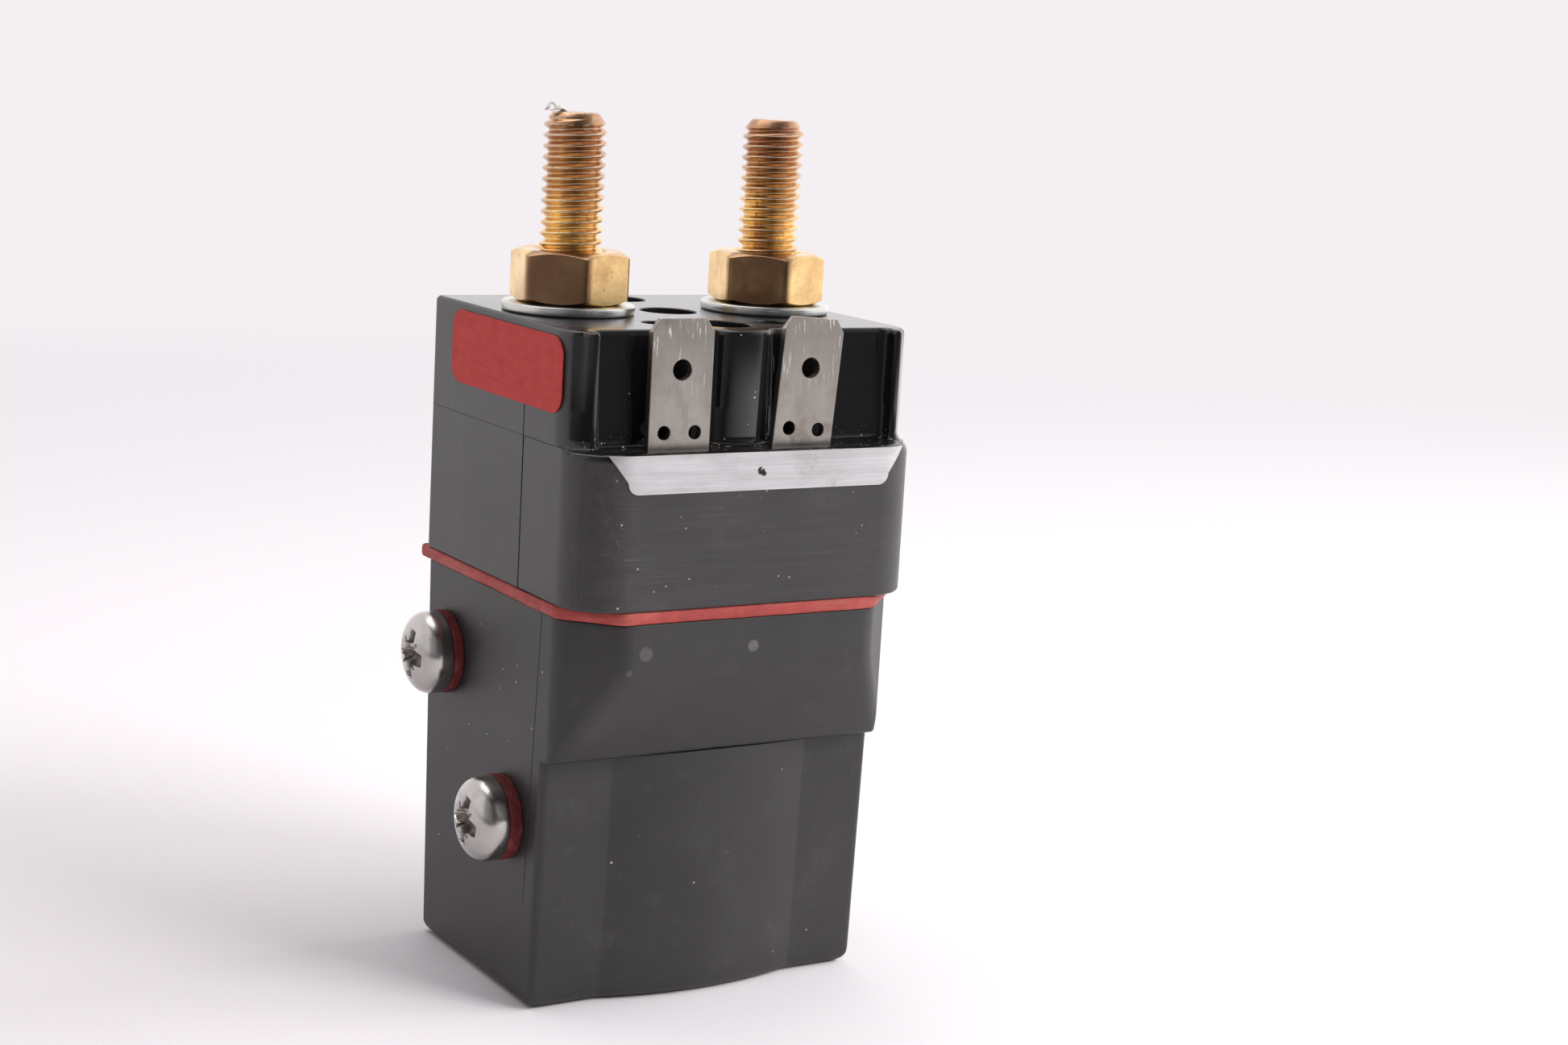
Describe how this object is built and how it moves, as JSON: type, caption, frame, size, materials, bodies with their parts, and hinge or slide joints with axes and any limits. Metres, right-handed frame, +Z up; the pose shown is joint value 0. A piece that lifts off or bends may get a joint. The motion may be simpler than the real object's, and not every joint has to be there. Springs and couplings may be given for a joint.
{
  "type": "dc contactor",
  "caption": "Upright single-pole DC contactor: two threaded studs on top, blade tabs in a front recess, gasketed coil cover below.",
  "frame": {"origin": "on the flat base, under the middle of the contact housing", "axes": "+Z up along the studs and the coil's axis, -Y towards the front with the blade tabs, +X to the right as seen from the front"},
  "size_m": [0.0398, 0.0349, 0.0824],
  "materials": {
    "housing_plastic": "semi-gloss moulded",
    "shell_plastic": "satin moulded, finely scratched",
    "cover_plastic": "matte moulded",
    "inner_plastic": "plain moulded",
    "gasket_rubber": "matte cut sheet",
    "pad_rubber": "matte",
    "stud_brass": "rolled thread, tarnished",
    "nut_brass": "machined, tarnished",
    "tube_brass": "drawn",
    "zinc_steel": "zinc plated",
    "screw_steel": "bright plated",
    "core_steel": "plain",
    "spring_steel": "drawn wire",
    "tab_metal": "tinned, scratched",
    "contact_silver": "silver facing",
    "copper": "copper",
    "winding_copper": "enamelled wire",
    "lead_insulation": "sleeve",
    "sticker_paper": "matte printed",
    "foil": "brushed foil",
    "fibre": "pressed fibre"
  },
  "bodies": {
    "casing": {"contact_housing": "housing_plastic", "front_shell": "shell_plastic", "coil_cover": "cover_plastic", "sealing_gasket": "gasket_rubber", "left_stud": "stud_brass", "right_stud": "stud_brass", "stud_nuts": "nut_brass", "stud_washers": "zinc_steel", "left_coil_tab": "tab_metal", "right_coil_tab": "tab_metal", "rating_sticker": "sticker_paper", "front_foil_label": "foil", "side_screws": "screw_steel", "fibre_washers": "fibre", "housing_screws": "screw_steel", "fixed_contact_tips": "contact_silver", "return_spring": "spring_steel", "guide_tube": "tube_brass", "fixed_pole": "core_steel", "yoke_frame": "core_steel", "pole_plate": "core_steel", "coil_bobbin": "inner_plastic", "coil_winding": "winding_copper", "left_coil_lead": "lead_insulation", "right_coil_lead": "lead_insulation", "plunger_pad": "pad_rubber"},
    "plunger_group": {"plunger": "core_steel", "push_rod": "tube_brass", "spring_collar": "zinc_steel", "bridge_clip": "zinc_steel"},
    "bridge_group": {"contact_bridge": "copper", "moving_contact_tips": "contact_silver", "contact_spring": "spring_steel"}
  },
  "joints": [
    {"name": "plunger_lift", "type": "slide", "parent": "casing", "child": "plunger_group", "axis": [0, 0, 1], "range_m": [0, 0.0021], "stiffness_N_per_m": 400, "springref_m": -0.004, "deforming": ["return_spring"]},
    {"name": "bridge_lift", "type": "slide", "parent": "casing", "child": "bridge_group", "axis": [0, 0, 1], "range_m": [0, 0.0015], "deforming": ["contact_spring"]}
  ],
  "couplings": [
    {"joint": "bridge_lift", "follows": "plunger_lift", "ratio": 0.71429}
  ]
}
